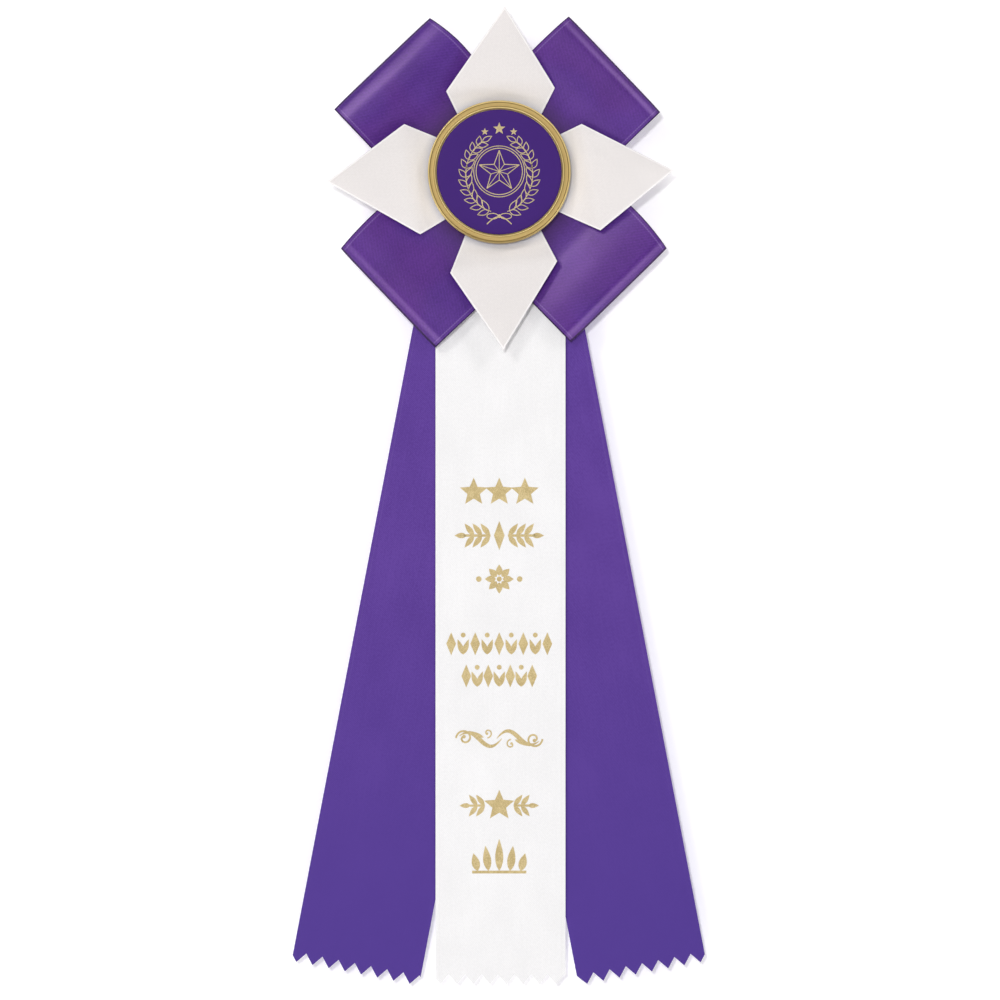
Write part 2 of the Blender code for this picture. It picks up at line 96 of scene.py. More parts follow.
# Loops: the direction in which each points, how much it is longer, shifted aside and spread, its side
# bulges (left and right of that direction), and how far the front layer tilts outwards at distances
# inwards from the outer fold. Lengths are in mm and tilts in degrees.
LOOPS = {
    "loop_upper_left": (
        133.7, (0, 0.1, 1.014), (0, 2),
        ((1.2, 38), (2, 24), (3.4, 18), (5.4, 15), (7, 9), (9.2, 1), (11.6, -8), (14, -17),
         (18, -20), (23, -16)),
    ),
    "loop_upper_right": (
        43.7, (0, 0, 1.014), (0.3, 0.2),
        ((1.2, 37), (1.8, 29), (3.6, 22), (4.9, 8), (6, 1), (8, -3), (12, -8), (16, -13),
         (20, -16), (24, -15)),
    ),
    "loop_lower_left": (
        223.7, (0.17, 0.09, 1.05), (0.2, 1),
        ((1.3, 38), (1.9, 25), (3.8, 20), (4.8, 8), (8, 0), (12, -8), (16, -12), (20, -14),
         (24, -14)),
    ),
    "loop_lower_right": (
        314.3, (0.06, 0, 1.031), (1.6, 0),
        ((1.3, 40), (2.2, 33), (3.8, 28), (4.8, 8), (7.5, -1), (10, -5), (13, -9), (18, -12.5),
         (23, -13), (26, -15)),
    ),
}
# Where the front layer starts and how steeply, and its tilts near the button
LOOP_START = 0.5 * MM
LOOP_TURN_TILT = 50.0
LOOP_INNER_TILTS = ((28.5, -8.0), (33.0, 0.0))
# How far the fold's corners draw in, the back layer rises, and the front layer stands off
LOOP_CORNER = 0.2 * MM
LOOP_RISE = 0.5 * MM
LOOP_PINCH = 0.75 * MM
# How the loop narrows towards its inner end
LOOP_GATHER = 0.3
LOOP_GATHER_START = 26 * MM
LOOP_GATHER_OVER = 20 * MM
LOOP_BULGE_END = 28 * MM
# The front layer's uneven fullness: its height, step across, start and length
LOOP_FULLNESS = 0.2 * MM
LOOP_FULL_STEP = 8.5 * MM
LOOP_FULL_START = 26 * MM
LOOP_FULL_OVER = 38 * MM
LOOP_COLUMNS = 28
LOOP_BACK_ROWS = 12
LOOP_TURN_ROWS = 14
LOOP_FRONT_ROWS = 46

# Petals: the direction in which each points, in degrees
PETALS = {"petal_top": 90, "petal_right": 0, "petal_bottom": 270, "petal_left": 180}
PETAL_ROWS = 44
PETAL_THICK = 0.22 * MM
# The share of the length up to the side corners, and of the half width where the fold begins
PETAL_CORNER = 0.42
PETAL_EDGE = 0.93
PETAL_FOLD = 0.42 * MM
PETAL_CROWN = 0.9 * MM
PETAL_DIP = 1.5 * MM
PETAL_DIP_START = 37 * MM
PETAL_DIP_END = 28 * MM
# The folds hide the woven edges, so the whole point counts as this far in from them
PETAL_FROM_EDGE = 6 * MM
# A shallow dent in one of them: its x and z, size and depth
PETAL_DENTS = {"petal_right": (39.8 * MM, 9.7 * MM, 2.4 * MM, 0.45 * MM)}

# Streamers: how far each leans from straight down, in degrees
STREAMERS = {"right_streamer": 10.85, "left_streamer": -10.85, "center_streamer": 0.0}
STREAMER_ROW = 2.4 * MM
# Their slow waves: where they start and grow, two heights, and their steps down and across
HANG_START = 70 * MM
HANG_OVER = 250 * MM
HANG_WAVES = (0.45 * MM, 0.25 * MM)
HANG_STEPS = (34 * MM, 60 * MM, 19 * MM)

# Colours that the gloss of each cloth takes
PURPLE_GLEAM = (0.82, 0.55, 1.0, 1.0)
WHITE_GLEAM = (1.0, 1.0, 1.0, 1.0)

# Foam pad: how far its faces draw in, and the turns of its side
PAD_SWELL = 0.6 * MM
PAD_TURNS = np.linspace(-math.pi / 2, math.pi / 2, 15)

# Gold foil: how far it stands up, sinks in and varies by shape
FOIL_LIFT = 0.05 * MM
FOIL_SINK = 0.03 * MM
FOIL_STEP = 0.003 * MM
FOIL_STEPS = 7

# Camera and stage
FRAME_WIDTH = 390.8 * MM
FRAME_CENTRE = (0.3 * MM, -127.5 * MM)
LENS = 150.0
SENSOR = 36.0
BACKDROP_GAP = 0.5 * MM
FLOOR_DROP = 1.25
STAGE_HALF = 2.5
STAGE_GLOW = 0.18
STAGE_PALE = (0.93, 0.93, 0.93, 1.0)

# Lights
PLAIN = (1.0, 1.0, 1.0)
WORLD_GLOW = 0.235
LIGHT_REACH = 1.8
LIGHT_TARGET = Vector((0, 0, -70 * MM))
# Each light: degrees aside and up from straight in front, size, share of full white, colour, and
# whether it shows as a highlight
LIGHTS = (
    ("front", -5, 4.5, 0.12, 0.365, PLAIN, False),
    ("soft_front", -4, 10, 1.5, 0.055, PLAIN, False),
    ("wide_front", 0, 6, 1.3, 0.05, PLAIN, True),
    ("upper_left", -27, 27, 0.45, 0.17, (1.0, 0.99, 0.98), True),
    ("lower_right", 48, -48, 0.4, 0.10, (1.0, 0.96, 1.0), True),
    ("upper_right", 43, 43, 0.4, 0.12, (1.0, 0.97, 1.0), True),
    ("lower_left", -31, -31, 0.5, 0.125, (1.0, 0.93, 0.97), True),
)
# One more lights the back: its place from the target, its size and its share
BEHIND = (Vector((0.5, 1.6, -0.15)), 1.2, 0.42)


def clear_startup():
    for obj in list(bpy.data.objects):
        bpy.data.objects.remove(obj, do_unlink=True)


# Shader maths


class Level:
    """A number that varies over a surface. Arithmetic on it adds Math nodes."""

    def __init__(self, finish, socket):
        self.finish = finish
        self.socket = socket

    def maths(self, operation, *others):
        return self.finish.node("Math", {"operation": operation}, dict(enumerate((self, *others))))

    def __add__(self, other):
        return self.maths("ADD", other)

    def __sub__(self, other):
        return self.maths("SUBTRACT", other)

    def __rsub__(self, other):
        return self.finish.node("Math", {"operation": "SUBTRACT"}, {0: other, 1: self})

    def __mul__(self, other):
        return self.maths("MULTIPLY", other)

    def __truediv__(self, other):
        return self.maths("DIVIDE", other)

    __radd__ = __add__
    __rmul__ = __mul__

    def wave(self, length):
        """A sine from 0 to 1 that repeats each length."""
        return (self * (2 * math.pi / length)).maths("SINE") * 0.5 + 0.5

    def band(self, middle, half, soft):
        """1 within half of the middle, fading to 0 over the soft distance."""
        away = (self - middle).maths("ABSOLUTE")
        return self.finish.fade(away, half + soft, half)


class Finish:
    """A material on a Principled BSDF. Constants are set straight on its sockets."""

    def __init__(self, name, **constants):
        self.material = bpy.data.materials.new(name)
        self.material.use_nodes = True
        self.tree = self.material.node_tree
        self.shader = self.tree.nodes["Principled BSDF"]
        for socket, value in constants.items():
            self.shader.inputs[socket.replace("_", " ")].default_value = value

    def node(self, kind, settings=(), sockets=(), output=0):
        """Adds a shader node: its settings first, then the values or links of its sockets."""
        made = self.tree.nodes.new("ShaderNode" + kind)
        for setting, value in dict(settings).items():
            setattr(made, setting, value)
        for socket, value in dict(sockets).items():
            if isinstance(value, Level):
                self.tree.links.new(value.socket, made.inputs[socket])
            else:
                made.inputs[socket].default_value = value
        return Level(self, made.outputs[output])

    def fade(self, value, at_zero, at_one):
        """0 at one value and 1 at the other, smoothly in between."""
        return self.node("MapRange", {"interpolation_type": "SMOOTHSTEP"}, {0: value, 1: at_zero, 2: at_one})

    def mix(self, factor, first, second):
        return self.node("Mix", {"data_type": "RGBA"}, {0: factor, 6: first, 7: second}, output=2)

    def stretch(self, vector, scale):
        return self.node("VectorMath", {"operation": "MULTIPLY"}, {0: vector, 1: scale})

    def noise(self, vector, scale, detail=3.0, roughness=0.5):
        sockets = {"Vector": vector, "Scale": scale, "Detail": detail, "Roughness": roughness}
        return self.node("TexNoise", {}, sockets, output="Fac")

    def place(self):
        return self.node("TexCoord", output="Object")

    def split(self, vector):
        parted = self.node("SeparateXYZ", {}, {0: vector}).socket.node
        return [Level(self, socket) for socket in parted.outputs]

    def from_axis(self):
        """The distance from the rosette's axis, and the height above it."""
        x, _, z = self.split(self.place())
        return (x * x + z * z).maths("SQRT"), z

    def feed(self, socket, value):
        self.tree.links.new(value.socket, self.shader.inputs[socket])

    def relief(self, height, distance, strength=1.0):
        """Bump from a height between 0 and 1, over a distance."""
        sockets = {"Height": height, "Distance": distance, "Strength": strength}
        self.feed("Normal", self.node("Bump", {}, sockets))


def rgb(red, green, blue):
    """An opaque linear colour from display values between 0 and 255."""
    shares = (red / 255, green / 255, blue / 255)
    return (*(s / 12.92 if s <= 0.04045 else ((s + 0.055) / 1.055) ** 2.4 for s in shares), 1.0)


RULED_GREY = rgb(120, 122, 132)
RULED_STEP = 6 * MM


def satin(name, colours, roughness, gloss, stitch, tint, rim=None, shade=None, lower=None, hues=None):
    """Satin ribbon: close lengthwise threads, soft picks across, and a woven line near each edge.

    The colours are of the raised threads, the threads between and the woven line. rim is the colour
    and strength of a thin painted line along cut edges and folds: painted shade when its colour is
    dark, a painted highlight when it is light. shade is the colour, strength and width of the painted
    shade round the button. lower is the colour and strength of the painted shade that darkens the
    lower end, and hues are a warm and a cool cast that drift over the cloth, and their strength.
    """
    light, deep, edge = colours
    finish = Finish(name, Specular_IOR_Level=gloss, Specular_Tint=tint)
    weave = finish.node("Attribute", {"attribute_name": "weave"}, output="Vector")
    across, along, from_edge = finish.split(weave)
    cloud = finish.noise(weave, 42.0, 2.0)
    streak = finish.noise(finish.stretch(weave, (1.0, 0.07, 0.0)), 900.0, 2.0)
    grain = finish.noise(finish.stretch(weave, (1.0, 0.7, 0.0)), 1500.0, 2.0, 0.7)
    twill = (across + along * 0.8).wave(TWILL_STEP) * (grain * 1.2)
    selvedge = from_edge.band(SELVEDGE_IN, 0.14 * MM, 0.16 * MM) * (along.wave(0.9 * MM) * 0.6 + 0.4)
    border = finish.fade(from_edge, SELVEDGE_IN, 0.2 * MM)
    tone = cloud * 0.30 + streak * 0.12 + grain * 0.26 + twill * 0.32
    body = finish.mix(finish.fade(tone, 0.32, 0.60), deep, light)
    if hues:
        warm, cool, strength = hues
        drift = finish.fade(finish.noise(finish.place(), 30.0, 1.0), 0.42, 0.58)
        body = finish.mix(tone * strength, body, finish.mix(drift, warm, cool))
    body = finish.mix(selvedge * stitch, body, edge)
    # Painted shade: the cloth darkens towards its lower end
    if lower:
        low_shade_colour, strength = lower
        body = finish.mix(finish.fade(along, 130 * MM, 330 * MM) * strength, body, low_shade_colour)
    # A thin painted line along cut edges and folds: painted shade on the loops, a painted highlight on the
    # points
    if rim:
        line, strength = rim
        crease = finish.node("Attribute", {"attribute_name": "crease"}, output="Fac")
        nearest = crease.maths("MINIMUM", from_edge * 1.8)
        outline = finish.fade(nearest, PAINTED_RIM_WIDTH + 0.5 * MM, PAINTED_RIM_WIDTH)
        body = finish.mix(outline * strength, body, line)
        roughness = roughness + outline * 0.4
    # Painted shade: the cloth darkens towards the button's rim, where it lies in shade
    if shade:
        painted_shade_colour, strength, width = shade
        radius, _ = finish.from_axis()
        near = finish.fade(radius, BUTTON["outer"] + width, BUTTON["outer"] - 0.8 * MM)
        body = finish.mix(near * near * strength, body, painted_shade_colour)
    finish.feed("Base Color", body)
    finish.feed("Roughness", roughness + (grain - 0.5) * 0.14 + border * 0.08)
    threads = across.wave(0.42 * MM) * 0.3 + twill * 0.4 + grain * 0.3
    finish.relief(threads * 0.6 + selvedge * 0.4, 0.05 * MM, 0.7)
    return finish.material


def gold_foil(name, colour, dark):
    """Stamped foil: matt gold with fine speckle where the cloth shows through."""
    finish = Finish(name, Metallic=0.35, Specular_IOR_Level=0.5)
    place = finish.place()
    speckle = finish.noise(place, 2600.0, 3.0, 0.6)
    cloud = finish.noise(place, 260.0, 2.0)
    wear = finish.fade(speckle * 0.7 + cloud * 0.3, 0.38, 0.62)
    finish.feed("Base Color", finish.mix(wear, dark, colour))
    finish.feed("Roughness", 0.5 - wear * 0.12)
    finish.relief(speckle, 0.03 * MM, 0.5)
    return finish.material


def brushed_gold(light, dark, tarnish_and_shade):
    """The button's rim: rings of fine brushing, duller between the two polished beads, with tarnish and
    painted shade in its grooves and painted shade low on its outer edge.
    """
    finish = Finish("brushed_gold", Metallic=0.85)
    radius, z = finish.from_axis()
    settings = {"noise_dimensions": "1D"}
    rings = finish.node("TexNoise", settings, {"W": radius, "Scale": 4200.0, "Detail": 2.0}, "Fac")
    cloud = finish.noise(finish.place(), 90.0, 2.0)
    speckle = finish.noise(finish.place(), 1500.0, 3.0)
    middle, half = BUTTON["channel_middle"], BUTTON["channel_half"]
    channel = radius.band(middle, half, 0.3 * MM)
    worn = channel * 0.75 + (cloud - 0.5) * 0.5 + (rings - 0.5) * 0.3 + 0.2
    # Tarnish and painted shade in the grooves at the channel's edges
    grooves = radius.band(middle + half, 0.08 * MM, 0.16 * MM)
    grooves = grooves + radius.band(middle - half, 0.05 * MM, 0.14 * MM)
    # Painted shade: the dark reflection low on the outer edge
    painted_low_shade = finish.fade(z, -14 * MM, -27 * MM)
    painted_low_shade = painted_low_shade * finish.fade(radius, BUTTON["outer"] - 1.3 * MM, BUTTON["outer"] - 0.3 * MM)
    tarnish_and_shade_mask = (grooves * 0.4).maths("MAXIMUM", painted_low_shade * 0.62)
    body = finish.mix(worn, light, dark)
    finish.feed("Base Color", finish.mix(tarnish_and_shade_mask, body, tarnish_and_shade))
    finish.feed("Roughness", 0.46 + channel * 0.1 + (speckle - 0.5) * 0.1)
    finish.relief(rings * 0.7 + speckle * 0.3, 0.006 * MM, 0.5)
    return finish.material


def printed_disc(colour, deep):
    finish = Finish("printed_disc", Specular_IOR_Level=0.12)
    place = finish.place()
    mottle = finish.noise(place, 60.0, 2.0)
    grain = finish.noise(place, 2400.0, 2.0)
    finish.feed("Base Color", finish.mix(mottle * 0.5, colour, deep))
    finish.feed("Roughness", 0.5 + (grain - 0.5) * 0.1)
    finish.relief(grain, 0.015 * MM, 0.4)
    return finish.material


def card_paper(name, colour, fibre, ruled=False):
    """Uncoated card with short fibres, and on the back card a few ruled lines to write on."""
    finish = Finish(name, Specular_IOR_Level=0.25)
    place = finish.place()
    pulp = finish.noise(finish.stretch(place, (1.0, 1.0, 3.0)), 700.0, 4.0, 0.65)
    shade = finish.noise(place, 60.0, 2.0)
    face = finish.mix(pulp * 0.6 + shade * 0.25, colour, fibre)
    if ruled:
        far, z = finish.from_axis()
        inside = finish.fade(far, 25.2 * MM, 25 * MM)
        clear_of_pin = z.maths("ABSOLUTE").maths("GREATER_THAN", RULED_STEP)
        lines = (z / RULED_STEP + 0.5).maths("FRACT").band(0.5, 0.012, 0.012)
        face = finish.mix(lines * inside * clear_of_pin * 0.8, face, RULED_GREY)
    finish.feed("Base Color", face)
    finish.feed("Roughness", 0.82 + pulp * 0.12)
    finish.relief(pulp, 0.05 * MM, 0.5)
    return finish.material


def foam(colour, hollow):
    finish = Finish("foam_pad", Roughness=0.95)
    cells = finish.node("TexVoronoi", {}, {"Vector": finish.place(), "Scale": 1400.0}, "Distance")
    finish.feed("Base Color", finish.mix(cells, hollow, colour))
    finish.relief(cells, 0.2 * MM, 0.7)
    return finish.material


def plated_steel(name, colour, dull, lines_along):
    """Nickel-plated wire and strip, with drawing lines and a little tarnish."""
    finish = Finish(name, Metallic=1.0)
    place = finish.place()
    drawn = finish.noise(finish.stretch(place, lines_along), 1800.0, 3.0)
    tarnish = finish.noise(place, 180.0, 3.0)
    patches = finish.fade(tarnish, 0.45, 0.8) * 0.35
    finish.feed("Base Color", finish.mix(patches, colour, dull))
    finish.feed("Roughness", 0.2 + drawn * 0.12 + tarnish * 0.1)
    finish.relief(drawn, 0.02 * MM, 0.4)
    return finish.material


# Mesh work


def in_scene(name, data):
    made = bpy.data.objects.new(name, data)
    bpy.context.scene.collection.objects.link(made)
    return made


def add_object(name, mesh, material, sharp=50):
    mesh.materials.append(material)
    mesh.shade_smooth()
    mesh.set_sharp_from_angle(angle=math.radians(sharp))
    return in_scene(name, mesh)


def finished(builder, name, material, sharp):
    mesh = bpy.data.meshes.new(name)
    builder.to_mesh(mesh)
    builder.free()
    return add_object(name, mesh, material, sharp)


def fit(made, slot, *nodes, body="root"):
    """Fastens a piece to its body and puts it in place of its CAD nodes. Its slot is not used."""
    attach(made, body)
    if nodes:
        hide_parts(*nodes)


def weave_of(across, along, from_edge):
    return np.stack(np.broadcast_arrays(across, along, from_edge), 2)


def directions(degrees):
    """The direction at an angle in (x, z), and the one a quarter turn on from it."""
    a = math.radians(degrees)
    return np.array([math.cos(a), math.sin(a)]), np.array([-math.sin(a), math.cos(a)])


def circle(x, z, radius, segments):
    turns = [2 * math.pi * i / segments for i in range(segments)]
    return [(x + radius * math.cos(a), z + radius * math.sin(a)) for a in turns]


def unit(vectors):
    return vectors / np.maximum(np.linalg.norm(vectors, axis=-1, keepdims=True), 1e-12)


def ribbon_sheet(name, grid, weave, material, thick=SATIN_THICK, crease=None):
    """A closed sheet of ribbon round a grid of points on its middle surface, in rows along its length.

    The front is the side that dv x du points to. The weave holds each point's distance across the
    ribbon, along it, and in from its nearer edge. The crease is its distance in from a fold.
    """
    rows, columns, _ = grid.shape
    normal = unit(np.cross(np.gradient(grid, axis=1), np.gradient(grid, axis=0)))
    sides = [(grid + normal * half).reshape(-1, 3) for half in (thick / 2, -thick / 2)]
    points = np.concatenate(sides)
    index = np.arange(rows * columns).reshape(rows, columns)
    a, b = index[:-1, :-1].ravel(), index[:-1, 1:].ravel()
    c, d = index[1:, 1:].ravel(), index[1:, :-1].ravel()
    back = rows * columns
    faces = [np.stack([a, b, c, d], 1), np.stack([d, c, b, a], 1) + back]
    for line, flipped in ((index[0], False), (index[-1], True), (index[:, 0], True), (index[:, -1], False)):
        near, far = line[:-1], line[1:]
        wall = np.stack([far, near, near + back, far + back], 1)
        faces.append(wall[:, ::-1] if flipped else wall)
    mesh = bpy.data.meshes.new(name)
    mesh.from_pydata(points.tolist(), [], np.concatenate(faces).tolist())
    cloth = mesh.attributes.new("weave", "FLOAT_VECTOR", "POINT")
    cloth.data.foreach_set("vector", np.concatenate([weave.reshape(-1, 3)] * 2).astype(np.float32).ravel())
    if crease is not None:
        fold = mesh.attributes.new("crease", "FLOAT", "POINT")
        fold.data.foreach_set("value", np.concatenate([crease.ravel()] * 2).astype(np.float32))
    return add_object(name, mesh, material)


def smooth_step(t):
    t = np.clip(t, 0.0, 1.0)
    return t * t * (3 - 2 * t)


def smooth_curve(stations, at):
    """A smooth line through (place, value) stations in rising order, which never overshoots them."""
    places, values = (np.array(column, float) for column in zip(*stations))
    chords = np.diff(values) / np.diff(places)
    before, after = chords[:-1], chords[1:]
    slopes = np.zeros_like(values)
    same_way = before * after > 0
    slopes[1:-1][same_way] = (2 * before * after / (before + after + (before + after == 0)))[same_way]
    i = np.clip(np.searchsorted(places, at) - 1, 0, len(places) - 2)
    span = places[i + 1] - places[i]
    t = np.clip((at - places[i]) / span, 0.0, 1.0)
    near = (2 * t**3 - 3 * t**2 + 1) * values[i] + (t**3 - 2 * t**2 + t) * span * slopes[i]
    return near + (3 * t**2 - 2 * t**3) * values[i + 1] + (t**3 - t**2) * span * slopes[i + 1]


def corners_of(node):
    return np.array([v.co for v in frame["nodes"][node].data.vertices], float)


def steps_from(radius, depth, *steps):
    """Points of a profile, each stepped out and forwards in mm from a radius and a depth."""
    return [(radius + out * MM, depth + forwards * MM) for out, forwards in steps]


def turned(name, profile, material, segments=160, sharp=40):
    """A ring or disc turned round the rosette's axis from (radius, depth) points."""
    builder = bmesh.new()
    rings = []
    for radius, depth in profile:
        if radius < 1e-7:
            rings.append([builder.verts.new((0, -depth, 0))] * segments)
            continue
        rings.append([builder.verts.new((x, -depth, z)) for x, z in circle(0, 0, radius, segments)])
    closed = profile[0][0] > 1e-7
    pairs = list(zip(rings, rings[1:])) + ([(rings[-1], rings[0])] if closed else [])
    for ring, following in pairs:
        for i in range(segments):
            j = (i + 1) % segments
            loop = [ring[i], ring[j], following[j], following[i]]
            loop = [v for k, v in enumerate(loop) if v is not loop[k - 1]]
            if len(loop) > 2:
                builder.faces.new(loop)
    bmesh.ops.recalc_face_normals(builder, faces=builder.faces)
    return finished(builder, name, material, sharp)


def build_metal(node, name, material, width, slot, body):
    """A CAD piece again with its edges rounded off, as on pressed and drawn metal."""
    builder = bmesh.new()
    builder.from_mesh(frame["nodes"][node].data)
    bmesh.ops.remove_doubles(builder, verts=builder.verts, dist=0.5e-6)
    bmesh.ops.dissolve_limit(builder, angle_limit=math.radians(4), verts=builder.verts, edges=builder.edges)
    sharp = math.radians(40)
    edges = [e for e in builder.edges if len(e.link_faces) == 2 and e.calc_face_angle() > sharp]
    if width:
        ease = {"offset": width, "segments": 3, "profile": 0.5, "affect": "EDGES", "clamp_overlap": True}
        bmesh.ops.bevel(builder, geom=edges, **ease)
    fit(finished(builder, name, material, 35), slot, node, body=body)


# Loops


def front_layer(tilts, end):
    """Distances inwards from the outer fold, and the front layer's heights there above its inner end."""
    inwards = LOOP_START + (end - LOOP_START) * np.linspace(0, 1, LOOP_FRONT_ROWS + 1) ** 1.35
    stations = [(LOOP_START, LOOP_TURN_TILT)]
    stations += [(d * MM, tilt) for d, tilt in tilts + LOOP_INNER_TILTS] + [(end, 0.0)]
    slopes = np.tan(np.radians(smooth_curve(stations, inwards)))
    steps = np.diff(inwards) * (slopes[1:] + slopes[:-1]) / 2
    heights = np.concatenate([[0.0], np.cumsum(steps)])
    return inwards, heights - heights[-1]


def build_loop(node, material):
    """One puffed loop: a length of satin from the staples out along the back, round and back in front."""
    angle, (longer, aside, spread), bulges, tilts = LOOPS[node]
    outwards, sideways = directions(angle)
    flat = corners_of(node)[:, [0, 2]]
    reach = (flat @ outwards).max() + longer * MM
    inner_end = (flat @ outwards).min()
    offset = ((flat @ sideways).max() + (flat @ sideways).min()) / 2 + aside * MM
    back_depth = -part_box(node)[1].y

    low = SATIN_THICK
    pinched = low + LOOP_PINCH
    back_end = low + LOOP_RISE
    last = math.radians(90 - LOOP_TURN_TILT)
    v = np.linspace(-0.5, 0.5, LOOP_COLUMNS + 1) * RIBBON_WIDTH
    share = v / (RIBBON_WIDTH / 2)
    columns = []
    for place, part in zip(v, share):
        # The corners draw in slightly, and the fold's radius joins the back layer to the front.
        edge = reach - LOOP_CORNER * part**8
        inwards, front_h = front_layer(tilts, edge - inner_end)
        front_h = pinched + front_h * (1 - 0.06 * part**2)
        turn = (front_h[0] - back_end) / (1 + math.sin(last))
        back_u = np.linspace(inner_end, edge - turn, LOOP_BACK_ROWS, endpoint=False)
        back_h = low + (back_end - low) * smooth_step((back_u - 0.7 * reach) / (0.25 * reach))
        sweep = np.linspace(-math.pi / 2, last, LOOP_TURN_ROWS)
        turn_u = edge - turn + turn * np.cos(sweep)
        turn_h = back_end + turn + turn * np.sin(sweep)
        run = (inwards - inwards[0]) / (inwards[-1] - inwards[0])
        inwards = inwards + (edge - turn_u[-1] - inwards[0]) * (1 - run)
        line_u = np.concatenate([back_u, turn_u, edge - inwards[1:]])
        line_h = np.concatenate([back_h, turn_h, front_h[1:]])
        bulge = bulges[0] if part > 0 else bulges[1]
        swell = np.zeros_like(line_u)
        inside = slice(LOOP_BACK_ROWS + LOOP_TURN_ROWS // 2, None)
        travel = (edge - line_u[inside]) / (edge - LOOP_BULGE_END)
        swell[inside] = bulge * MM * np.sin(math.pi * np.clip(travel, 0, 1)) * part * abs(part)
        gather = 1 - LOOP_GATHER * smooth_step((LOOP_GATHER_START - line_u) / LOOP_GATHER_OVER)
        line_v = (offset + place * spread) * gather + swell
        columns.append(np.stack([line_u, line_h, line_v, edge - line_u], 1))
    path = np.stack(columns, 1)
    u, h, w, crease = (path[..., k] for k in range(4))
    front_row = LOOP_BACK_ROWS + LOOP_TURN_ROWS
    rows_in = (np.arange(len(u)) - front_row + 8) / 16
    out = np.clip((u - LOOP_FULL_START) / LOOP_FULL_OVER, 0, 1)
    fullness = smooth_step(rows_in)[:, None] * np.sin(math.pi * out) ** 2
    h = h + LOOP_FULLNESS * np.sin(w / LOOP_FULL_STEP + angle) * fullness
    x, z = (u * outwards[k] + w * sideways[k] for k in (0, 1))
    grid = np.stack([x, -(back_depth + h), z], 2)
    steps = np.diff(path[:, LOOP_COLUMNS // 2, :3], axis=0)
    along = np.concatenate([[0.0], np.cumsum(np.linalg.norm(steps, axis=1))])
    weave = weave_of(v, along[:, None], RIBBON_WIDTH / 2 - np.abs(v))
    made = ribbon_sheet("satin_" + node, grid[:, ::-1], weave[:, ::-1], material, crease=crease[:, ::-1])
    fit(made, "purple_satin", node)


# Petals


